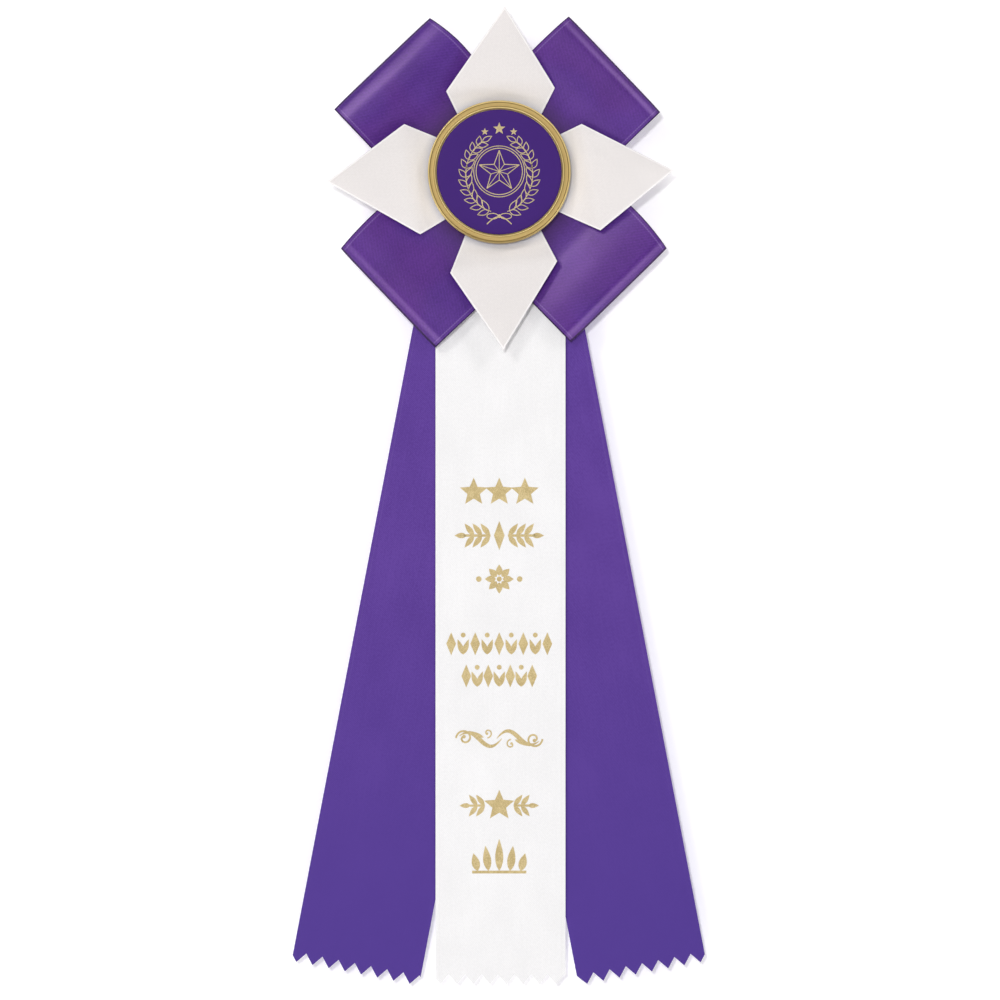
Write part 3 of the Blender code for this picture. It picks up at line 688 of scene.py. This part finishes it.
def build_petal(node, material):
    """One point: the satin is smooth in front and folded behind, where its two flaps meet at a seam."""
    axis, side = directions(PETALS[node])
    points = corners_of(node)
    flat = points[:, [0, 2]]
    tip = flat[(flat @ axis).argmax()]
    corners = [flat[(flat @ side).argmin()], flat[(flat @ side).argmax()]]
    inner = flat[(flat @ axis) < (flat @ axis).min() + 1.2 * MM]
    inner_ends = [inner[(inner @ side).argmin()], inner[(inner @ side).argmax()]]
    depths = []
    for place in ((inner_ends[0] + inner_ends[1]) / 2, tip):
        near = points[np.abs(flat @ axis - place @ axis) < 0.6 * MM]
        depths.append((-near[:, 1].max(), -near[:, 1].min()))

    # The first rows run from the inner end to the side corners, and the rest on to the tip.
    corner_row = int(PETAL_ROWS * PETAL_CORNER)
    first_rows = np.linspace(0.0, PETAL_CORNER, corner_row, endpoint=False)
    t = np.concatenate([first_rows, np.linspace(PETAL_CORNER, 1.0, PETAL_ROWS + 1 - corner_row)])
    edges = []
    for start, corner in zip(inner_ends, corners):
        inwards = np.clip(t / PETAL_CORNER, 0, 1)[:, None]
        outwards = np.clip((t - PETAL_CORNER) / (1 - PETAL_CORNER), 0, 1)[:, None]
        edges.append(start + (corner - start) * inwards + (tip - corner) * outwards)
    left, right = edges
    middle = (left + right) / 2
    reach = middle @ axis
    run = (reach - reach[0]) / (reach[-1] - reach[0])
    back, front = (inner_depth + (tip_depth - inner_depth) * run for inner_depth, tip_depth in zip(*depths))
    dip = PETAL_DIP * smooth_step((PETAL_DIP_START - reach) / (PETAL_DIP_START - PETAL_DIP_END))
    dip = np.minimum(dip, back - back[0])
    back, front = back - dip, front - dip
    half = np.linalg.norm(right - left, axis=1) / 2
    across = (right - left) / np.maximum(2 * half, 1e-9)[:, None]
    across[-1] = across[-2]

    # Across each row: the left flap from the seam out, round the fold, the front, and the right flap.
    flap = np.linspace(0.015, PETAL_EDGE, 9)
    fold = np.linspace(0, math.pi, 9)[1:-1]
    face = np.linspace(-PETAL_EDGE, PETAL_EDGE, 25)
    grid = np.zeros((PETAL_ROWS + 1, 2 * len(flap) + 2 * len(fold) + len(face), 3))
    spread = np.zeros(grid.shape[:2])
    crease = np.zeros(grid.shape[:2])
    for i in range(PETAL_ROWS + 1):
        width = max(half[i], 0.25 * MM)
        radius = min(PETAL_FOLD, width * 0.5, (front[i] - back[i]) / 2)
        thin = min(1.0, half[i] / (4 * MM))
        crown = PETAL_CROWN * thin * math.sin(math.pi * min(1.0, 0.15 + 0.85 * run[i])) ** 0.7
        base = (back[i] + front[i]) / 2 - radius
        top = base + 2 * radius
        inset = width - radius
        row = [(-inset * s / PETAL_EDGE, base - 0.25 * crown * (1 - s * s)) for s in flap]
        row += [(-inset - radius * math.sin(a), base + radius - radius * math.cos(a)) for a in fold]
        row += [(inset * s / PETAL_EDGE, top + crown * (1 - (s / PETAL_EDGE) ** 2) ** 0.85) for s in face]
        row += [(inset + radius * math.sin(a), base + radius + radius * math.cos(a)) for a in fold]
        row += [(inset * s / PETAL_EDGE, base - 0.25 * crown * (1 - s * s)) for s in flap[::-1]]
        spots = np.array(row)
        place = middle[i] + spots[:, :1] * across[i]
        grid[i, :, 0], grid[i, :, 2] = place[:, 0], place[:, 1]
        grid[i, :, 1] = -spots[:, 1]
        spread[i] = spots[:, 0]
        crease[i] = width - np.abs(spots[:, 0])
    if node in PETAL_DENTS:
        x, z, size, depth = PETAL_DENTS[node]
        first = len(flap) + len(fold)
        front_side = grid[:, first : first + len(face)]
        away = np.hypot(front_side[..., 0] - x, front_side[..., 2] - z)
        front_side[..., 1] += depth * np.exp(-((away / size) ** 2))
    weave = weave_of(spread, reach[:, None], PETAL_FROM_EDGE)
    made = ribbon_sheet("satin_" + node, grid, weave, material, thick=PETAL_THICK, crease=crease)
    fit(made, "white_satin", node)


# Streamers


def hang(x, z):
    """How far the cloth hangs behind its flat place: slow, shallow waves that grow towards the ends."""
    fall = np.clip((-z - HANG_START) / HANG_OVER, 0, 1)
    down, aslant, across = HANG_STEPS
    slow = HANG_WAVES[0] * np.sin(-z / down + x / aslant)
    return fall * (slow + HANG_WAVES[1] * np.sin(x / across + 0.6))


def build_streamer(node, material):
    """One streamer in a single length, from under the rosette to its pinked end."""
    side, up = directions(STREAMERS[node])
    down = -up
    free = corners_of(node)[:, [0, 2]]
    held = corners_of(node + "_end")[:, [0, 2]]
    middle = ((free @ side).min() + (free @ side).max()) / 2
    start = (held @ down).min()
    lower = free[free @ down > (free @ down).max() - 8 * MM]
    spots = {round(float(p @ side), 6): float(p @ down) for p in lower}
    teeth = np.array(sorted(spots.items()))
    fine = np.unique(np.concatenate([teeth[:, 0], (teeth[1:, 0] + teeth[:-1, 0]) / 2]))
    ends = np.interp(fine, teeth[:, 0], teeth[:, 1])
    straight = ends.min() - 5 * MM
    count = int((straight - start) / STREAMER_ROW)
    rows = [np.full_like(fine, x) for x in np.linspace(start, straight, count)]
    rows += [straight + (ends - straight) * t for t in np.linspace(0, 1, 5)[1:]]
    along = np.array(rows)
    depth = (-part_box(node)[0].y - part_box(node)[1].y) / 2
    place = along[..., None] * down + fine[None, :, None] * side
    grid = np.zeros((*along.shape, 3))
    grid[..., 0], grid[..., 2] = place[..., 0], place[..., 1]
    grid[..., 1] = -depth + hang(place[..., 0], place[..., 1])
    weave = weave_of(fine - middle, along, RIBBON_WIDTH / 2 - np.abs(fine - middle))
    made = ribbon_sheet("satin_" + node, grid, weave, material)
    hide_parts(node, node + "_end")
    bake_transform(made)


# Foil ornaments, drawn in mm in (x, z) and laid on a surface


def star_points(x, z, outer, inner):
    turns = [math.pi / 2 + math.pi * i / 5 for i in range(10)]
    return [(x + r * math.cos(a), z + r * math.sin(a)) for r, a in zip((outer, inner) * 5, turns)]


def sided(aim, side):
    """An angle in degrees, mirrored when the side is -1, the left."""
    return aim if side > 0 else 180 - aim


class Ornament:
    """Thin raised shapes on a surface. put takes x, z and a height above it, all in metres."""

    def __init__(self, put):
        self.put = put
        self.builder = bmesh.new()
        self.shapes = 0

    def lift(self):
        """Each shape stands a hair apart from the last, so that crossing shapes never share a face."""
        self.shapes += 1
        return FOIL_LIFT + self.shapes % FOIL_STEPS * FOIL_STEP

    def corners(self, points, lift):
        return [self.builder.verts.new(self.put(x * MM, z * MM, lift)) for x, z in points]

    def outline(self, points):
        """A solid shape inside a closed outline."""
        lift = self.lift()
        front, back = self.corners(points, lift), self.corners(points, -FOIL_SINK)
        add_face = self.builder.faces.new
        add_face(front)
        add_face(back[::-1])
        for i in range(len(points)):
            j = (i + 1) % len(points)
            add_face((front[j], front[i], back[i], back[j]))

    def stroke(self, points, width, closed=False, taper=False):
        """A line of the given width through the points, pointed at its ends if it tapers."""
        line = np.array(points, float)
        heading = unit(np.roll(line, -1, 0) - np.roll(line, 1, 0) if closed else np.gradient(line, axis=0))
        across = np.stack([-heading[:, 1], heading[:, 0]], 1)
        widths = np.full(len(line), width)
        if taper:
            widths = width * (0.12 + 0.88 * np.sin(math.pi * np.linspace(0, 1, len(line))))
        sides = [line + across * widths[:, None] / 2, line - across * widths[:, None] / 2]
        lift = self.lift()
        around = ((0, lift), (1, lift), (1, -FOIL_SINK), (0, -FOIL_SINK))
        verts = [self.corners(sides[side], height) for side, height in around]
        last = len(line) if closed else len(line) - 1
        add_face = self.builder.faces.new
        for near, far in zip(verts, verts[1:] + verts[:1]):
            for i in range(last):
                j = (i + 1) % len(line)
                add_face((near[i], near[j], far[j], far[i]))
        if not closed:
            add_face([row[0] for row in verts])
            add_face([row[-1] for row in verts[::-1]])

    def finish(self, name, material):
        bmesh.ops.recalc_face_normals(self.builder, faces=self.builder.faces)
        return finished(self.builder, name, material, 30)

    def star(self, x, z, radius, inner=0.42):
        self.outline(star_points(x, z, radius, radius * inner))

    def ring(self, x, z, radius, width, segments):
        self.stroke(circle(x, z, radius, segments), width, closed=True)

    def dot(self, x, z, radius, segments=20):
        self.outline(circle(x, z, radius, segments))

    def diamond(self, x, z, half_width, half_height):
        self.outline([(x - half_width, z), (x, z - half_height), (x + half_width, z), (x, z + half_height)])

    def bar(self, x0, x1, z, width):
        steps = max(2, int(abs(x1 - x0) / 3))
        self.stroke([(x, z) for x in np.linspace(x0, x1, steps + 1)], width)

    def leaf(self, x, z, length, width, angle, line=0.0):
        """A pointed leaf from its stem end, at an angle in degrees: solid, or drawn as a line."""
        along, across = directions(angle)
        shares = np.linspace(0, 1, 9)
        bow = np.sin(math.pi * shares**0.8) * width / 2
        upper = [(share * length, lift) for share, lift in zip(shares, bow)]
        lower = [(reach, -lift) for reach, lift in upper[-2:0:-1]]
        outline = [np.array([x, z]) + p * along + q * across for p, q in upper + lower]
        if line:
            self.stroke(outline, line, closed=True)
        else:
            self.outline(outline)

    def curl(self, x, z, radius, start, turns, width, inner=0.18):
        """A spiral stroke that winds in towards (x, z) from an angle in degrees."""
        t = np.linspace(0, 1, int(abs(turns) * 30) + 1)
        a = math.radians(start) + 2 * math.pi * turns * t
        r = radius * (1 - (1 - inner) * t)
        points = np.stack([x + r * np.cos(a), z + r * np.sin(a)], 1)
        self.stroke(points, width)
        self.dot(*points[-1], width * 0.95, 14)

    def laurel(self, x, z, radii, leaf, count, side, start, stop, line):
        """One branch of a wreath on an oval, on the right for side 1 or the left for side -1."""
        wide, tall = radii

        def spot(degrees):
            a = math.radians(degrees)
            return (x + side * wide * math.cos(a), z + tall * math.sin(a))

        stem = [spot(start + (stop - start) * i / (count * 3)) for i in range(count * 3 + 1)]
        self.stroke(stem, line)
        for i in range(count):
            turn = start + (stop - start) * (i + 0.3) / count
            size = leaf * (1 - 0.25 * i / count)
            for lean, part in ((128, 1.0), (52, 0.9)):
                self.leaf(*spot(turn), size * part, leaf * 0.38, sided(turn + lean, side), line)
        self.leaf(*spot(stop), leaf * 0.8, leaf * 0.34, sided(stop + 90, side), line)

    def sprig(self, x, z, length, leaf, pairs, side):
        """A straight sprig lying sideways, with bold leaves in pairs."""
        self.bar(x, x + side * length * 0.86, z, leaf * 0.16)
        for i in range(pairs):
            foot = x + side * length * (0.02 + 0.74 * i / pairs)
            for lean in (-52, 52):
                self.leaf(foot, z, leaf, leaf * 0.36, sided(lean, side))
        self.leaf(x + side * length * 0.74, z, leaf * 0.8, leaf * 0.36, sided(0, side))


def build_streamer_foil(material):
    """Gold stamping on the white streamer: stars, sprigs, bands of diamonds and a scroll, and a foot."""
    low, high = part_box("center_streamer")
    middle = (low.x + high.x) / 2 - 0.5 * MM
    surface = (low.y + high.y) / 2 - SATIN_THICK / 2

    def put(x, z, lift):
        return (middle + x, surface + float(hang(middle + x, z)) - lift, z)

    stars = Ornament(put)
    top, wreath_row, low_row = -124.4, -141.4, -158.4
    for x in (-10.0, 0.0, 10.0):
        stars.star(x, top, 5.7, inner=0.45)
    stars.diamond(0, wreath_row, 2.1, 5.7)
    for side in (-1, 1):
        stars.sprig(side * 3.4, wreath_row, 12.6, 6.0, 3, side)
    for turn, foot in zip(range(0, 360, 45), circle(0, low_row, 1.3, 8)):
        stars.leaf(*foot, 4.4, 2.6, turn)
    stars.dot(0, low_row, 1.0)
    for side in (-1, 1):
        stars.dot(side * 8.0, low_row, 1.1)

    bands = Ornament(put)
    for z, count, step in ((-183.7, 9, 4.7), (-196.3, 7, 4.3)):
        for i in range(count):
            x = (i - (count - 1) / 2) * step
            if i % 2 == 0:
                bands.diamond(x, z, 1.9, 4.5)
            else:
                for lean in (-1, 1):
                    bands.leaf(x, z - 4.2, 6.4, 2.1, 90 - lean * 20)
                bands.dot(x, z + 3.4, 0.95)

    scroll = Ornament(put)
    at = -220.8
    share = np.linspace(0, 1, 60)
    waves = 3.3 * np.sin(5.78 * share) * (1 - 0.35 * share)
    for side in (-1, 1):
        sweep = [(side * (16.6 * s - 1.0), at + side * wave) for s, wave in zip(share, waves)]
        scroll.stroke(sweep, 1.7, taper=True)
        scroll.curl(side * 13.6, at - side * 0.2, 3.3, 90 - side * 90, -1.2, 0.75)
        scroll.leaf(side * 6.0, at - side * 0.4, 6.4, 1.4, -24 if side > 0 else 156)
        scroll.curl(side * 4.6, at - side * 2.2, 1.9, side * 90, 0.9, 0.55)

    foot = Ornament(put)
    heart, base = -247.0, -266.4
    foot.star(0, heart, 6.2, inner=0.45)
    for side in (-1, 1):
        foot.sprig(side * 5.6, heart, 7.6, 5.4, 2, side)
    for i, tall in ((-2, 3.6), (-1, 5.0), (0, 6.3), (1, 5.0), (2, 3.6)):
        foot.leaf(i * 4.2, base - 6.2, 2 * tall, 3.2, 90 - i * 7)
    foot.bar(-10.6, 10.6, base - 6.6, 1.1)

    for name, drawn in (("stars", stars), ("bands", bands), ("scroll", scroll), ("foot", foot)):
        fit(drawn.finish("foil_" + name, material), "gold_metal", body="center_streamer")


def build_emblem(material, face_depth):
    """The fine gold print on the button: a star in two rings, in a laurel wreath with a bow below."""

    def put(x, z, lift):
        return (x, -(face_depth + lift * 0.6), z)

    line = 0.32
    emblem = Ornament(put)
    for side in (-1, 1):
        emblem.laurel(0, -1.0, (13.0, 14.8), 5.2, 10, side, -76, 60, line)
    centre = 0.2
    for reach in (9.9, 9.0):
        emblem.ring(0, centre, reach, line, 96)
    points = star_points(0, centre, 8.2, 3.4)
    for i, point in enumerate(points):
        emblem.stroke([point, points[(i + 1) % 10]], line)
        emblem.stroke([(0, centre), point], line * 0.8)
    for x, z, size in ((0, 16.8, 2.5), (-5.6, 15.6, 1.5), (5.6, 15.6, 1.5)):
        emblem.star(x, z, size)
    for side in (-1, 1):
        bow = np.linspace(0, 2 * math.pi, 25)[:-1]
        loop = [(side * (2.6 - 2.2 * math.cos(t)), -17.2 + 1.1 * math.sin(t)) for t in bow]
        emblem.stroke(loop, line, closed=True)
        tail = [(side * (0.4 + 4.4 * t), -17.4 - 2.9 * t**1.6) for t in np.linspace(0, 1, 8)]
        emblem.stroke(tail, line * 1.3)
    emblem.dot(0, -17.2, 0.7)
    fit(emblem.finish("button_print", material), "gold_metal")


# Button


def button_sizes():
    """Radii and depths of the button, read from the frame."""
    bezel_low, bezel_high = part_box("button_bezel")
    insert_low, insert_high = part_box("button_insert")
    outer = bezel_high.x
    inner = insert_high.x + 0.3 * MM
    return {
        "outer": outer,
        "inner": inner,
        "back": -bezel_high.y,
        "front": -bezel_low.y,
        "face": -insert_low.y,
        "face_back": -insert_high.y,
        "disc": insert_high.x,
        "channel_middle": (outer + inner) / 2,
        "channel_half": (outer - inner) / 2 - 0.75 * MM,
    }


def build_button(gold, disc_print, foil):
    outer, inner, back, front = (BUTTON[key] for key in ("outer", "inner", "back", "front"))
    edge, face, face_back = (BUTTON[key] for key in ("disc", "face", "face_back"))

    def bead(middle, radius, crest, start, stop, steps=8):
        turns = [math.radians(start + (stop - start) * i / steps) for i in range(steps + 1)]
        return [(middle + radius * math.cos(a), crest - radius + radius * math.sin(a)) for a in turns]

    bead_radius = 0.4 * MM
    profile = steps_from(outer, back, (-1.0, 0.0), (-0.25, 0.0), (-0.06, 0.1), (0.0, 0.3))
    profile += steps_from(outer, front, (0.0, -1.5), (-0.12, -1.3), (-0.12, -1.1), (0.0, -0.9))
    profile += bead(outer - bead_radius, bead_radius, front - 0.12 * MM, 0, 160)
    channel = [(0.08, 0.20), (0.3, 0.26), (0.5, 0.28), (0.7, 0.25), (0.92, 0.16)]
    wide = outer - inner - 4 * bead_radius
    profile += [(outer - 2 * bead_radius - s * wide, front - drop * MM) for s, drop in channel]
    profile += bead(inner + bead_radius + 0.1 * MM, bead_radius, front, 25, 180)
    profile += steps_from(inner, front, (0.06, -1.0))
    profile += steps_from(inner, face_back, (0.02, 0.1), (0.0, -0.1), (-1.2, -0.2), (-1.2, -0.9))
    profile += steps_from(outer, face_back, (-1.0, -1.0))
    fit(turned("gilt_rim", profile, gold, 192, 48), "gold_metal", "button_bezel")

    ease = 0.18 * MM
    turns = np.linspace(0, 1.57, 6)
    rounded = [(edge - ease + ease * math.sin(t), face - ease + ease * math.cos(t)) for t in turns]
    profile = [(0, face), (edge * 0.33, face), (edge * 0.66, face)] + rounded
    profile += [(edge, face_back + ease), (edge - ease, face_back), (0, face_back)]
    fit(turned("printed_disc", profile, disc_print, 160), "purple_print", "button_insert")
    build_emblem(foil, face)


def build_pad(material):
    """The foam disc behind the button, pressed flat on both faces so that its side swells."""
    low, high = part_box("button_pad")
    radius, front, back = high.x, -low.y, -high.y
    middle, half = (front + back) / 2, (front - back) / 2
    side = [(radius - PAD_SWELL * (1 - math.cos(t)), middle + half * math.sin(t)) for t in PAD_TURNS]
    profile = [(0, back), (radius * 0.5, back)] + side + [(radius * 0.5, front), (0, front)]
    made = turned("pad_foam", profile, material, 96)
    fit(made, "foam_pad", "button_pad")


# Cards


def build_back_card(paper):
    """The paper disc behind, with a soft cut edge."""
    low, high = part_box("back_card")
    radius, front, back = high.x, -low.y, -high.y
    profile = [(0, front), (radius * 0.5, front)] + steps_from(radius, front, (-0.12, 0), (0, -0.12))
    profile += steps_from(radius, back, (0, 0.12), (-0.12, 0)) + [(radius * 0.5, back), (0, back)]
    fit(turned("paper_back", profile, paper, 144), "back_paper", "back_card")


def repaint(node, material):
    mesh = frame["nodes"][node].data
    mesh.materials.clear()
    mesh.materials.append(material)


# Stage, lights and camera


def stage_surface():
    """A pale surface that is seen and lit from its front only."""
    finish = Finish("pale_stage")
    diffuse = finish.node("BsdfDiffuse", {}, {"Color": STAGE_PALE})
    glow = finish.node("Emission", {}, {"Strength": STAGE_GLOW})
    lit = finish.node("AddShader", {}, {0: diffuse, 1: glow})
    clear = finish.node("BsdfTransparent")
    from_behind = finish.node("NewGeometry", output="Backfacing")
    seen = finish.node("MixShader", {}, {0: from_behind, 1: lit, 2: clear})
    finish.tree.links.new(seen.socket, finish.tree.nodes["Material Output"].inputs["Surface"])
    return finish.material


def stage_plane(name, corners, material):
    mesh = bpy.data.meshes.new(name)
    mesh.from_pydata(corners, [], [(0, 1, 2, 3)])
    mesh.materials.append(material)
    made = in_scene(name, mesh)
    made.visible_shadow = False


def build_stage():
    low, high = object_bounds()
    wide = STAGE_HALF
    wall_y = high.y + BACKDROP_GAP
    floor_z = low.z - FLOOR_DROP
    pale = stage_surface()
    sides = (-wide, wide, wide, -wide)
    ends = (floor_z, floor_z, wide, wide)
    stage_plane("backdrop", [(x, wall_y, z) for x, z in zip(sides, ends)], pale)
    ends = (-wide, -wide, wide, wide)
    stage_plane("floor", [(x, y, floor_z) for x, y in zip(sides, ends)], pale)


def add_light(name, place, size, share, colour, glossy):
    """A round softbox. Its share is the part of full white that it gives a white surface facing it."""
    reach = (place - LIGHT_TARGET).length
    data = bpy.data.lights.new(name, "AREA")
    data.shape = "DISK"
    data.size = size
    data.energy = share * math.pi**2 * reach**2
    data.color = colour
    made = in_scene(name, data)
    made.location = place
    made.rotation_euler = (LIGHT_TARGET - place).to_track_quat("-Z", "Y").to_euler()
    made.visible_glossy = glossy


def build_lights():
    world = bpy.data.worlds.new("soft_room")
    world.use_nodes = True
    background = world.node_tree.nodes["Background"]
    background.inputs["Color"].default_value = (*PLAIN, 1.0)
    background.inputs["Strength"].default_value = WORLD_GLOW
    bpy.context.scene.world = world
    for name, aside, up, size, share, colour, glossy in LIGHTS:
        across, rise = math.tan(math.radians(aside)), math.tan(math.radians(up))
        heading = Vector((across, -1.0, rise)).normalized()
        add_light(name, LIGHT_TARGET + heading * LIGHT_REACH, size, share, colour, glossy)
    # The last one shines through the backdrop, which casts no shadow.
    place, size, share = BEHIND
    add_light("behind", LIGHT_TARGET + place, size, share, PLAIN, True)


def build_camera():
    data = bpy.data.cameras.new("camera")
    data.lens = LENS
    data.sensor_width = SENSOR
    data.clip_start = 0.01
    made = in_scene("camera", data)
    distance = FRAME_WIDTH * LENS / SENSOR
    made.location = (FRAME_CENTRE[0], -distance - 6 * MM, FRAME_CENTRE[1])
    made.rotation_euler = (math.pi / 2, 0, 0)
    bpy.context.scene.camera = made
    bpy.context.scene.view_settings.view_transform = "Standard"


clear_startup()
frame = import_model()
BUTTON = button_sizes()

loop_satin = satin(
    "loop_satin",
    (rgb(88, 46, 138), rgb(60, 26, 106), rgb(150, 122, 186)),
    roughness=0.34,
    gloss=1.0,
    stitch=0.4,
    tint=PURPLE_GLEAM,
    # painted shade along the loops' edges and outer folds
    rim=(rgb(24, 4, 50), 0.92),
    # painted shade round the button
    shade=(rgb(30, 6, 54), 0.62, 12 * MM),
    hues=(rgb(92, 40, 130), rgb(78, 50, 142), 0.45),
)
tail_satin = satin(
    "tail_satin",
    (rgb(96, 66, 151), rgb(82, 54, 135), rgb(140, 116, 182)),
    roughness=0.46,
    gloss=0.3,
    stitch=0.1,
    tint=PURPLE_GLEAM,
    # painted shade towards the lower ends
    lower=(rgb(76, 55, 138), 0.95),
)
tail_whites = (rgb(239, 239, 239), rgb(229, 229, 229), rgb(222, 221, 220))
white = satin("white_satin", tail_whites, roughness=0.5, gloss=0.3, stitch=0.3, tint=WHITE_GLEAM)
petal_white = satin(
    "petal_satin",
    (rgb(228, 224, 222), rgb(220, 216, 214), rgb(212, 208, 205)),
    roughness=0.42,
    gloss=0.3,
    stitch=0.3,
    tint=WHITE_GLEAM,
    # painted highlight along the points' folds
    rim=(rgb(246, 244, 243), 0.8),
    # painted bluish shade round the button's rim
    shade=(rgb(148, 156, 182), 0.46, 5.5 * MM),
)
foil = gold_foil("gold_foil", rgb(226, 206, 154), rgb(198, 176, 122))
fine_print = gold_foil("gold_print", rgb(214, 196, 150), rgb(196, 176, 130))
# the last colour is of the tarnish and painted shade
gold = brushed_gold(rgb(254, 230, 158), rgb(218, 190, 124), rgb(98, 68, 24))
disc_print = printed_disc(rgb(64, 36, 112), rgb(59, 32, 107))
paper = card_paper("back_paper", rgb(240, 237, 228), rgb(224, 219, 206), ruled=True)
board = card_paper("grey_board", rgb(206, 200, 190), rgb(176, 168, 156))
pad = foam(rgb(235, 235, 232), rgb(190, 190, 186))
strip_steel = plated_steel("plated_strip", rgb(205, 205, 207), rgb(160, 158, 152), (0.05, 1.0, 1.0))
wire_steel = plated_steel("plated_wire", rgb(212, 212, 214), rgb(168, 166, 160), (0.1, 1.0, 1.0))

for node in LOOPS:
    build_loop(node, loop_satin)
for node in PETALS:
    build_petal(node, petal_white)
build_streamer("right_streamer", tail_satin)
build_streamer("left_streamer", tail_satin)
build_streamer("center_streamer", white)
build_streamer_foil(foil)
build_button(gold, disc_print, fine_print)
build_back_card(paper)
repaint("base_card", board)
repaint("button_back", board)
build_pad(pad)
for node in ("staple_top", "staple_right", "staple_bottom", "staple_left"):
    build_metal(node, node + "_wire", wire_steel, 0.12 * MM, "staple_wire", "root")
for node, body, metal, width in (
    ("pin_plate", "root", strip_steel, 0.12 * MM),
    ("pin_rivet", "root", wire_steel, 0.15 * MM),
    ("pin_catch", "pin_catch", strip_steel, 0.1 * MM),
    ("pin_needle", "pin_needle", wire_steel, 0.0),
):
    build_metal(node, node + "_plated", metal, width, "pin_steel", body)

build_stage()
build_lights()
build_camera()
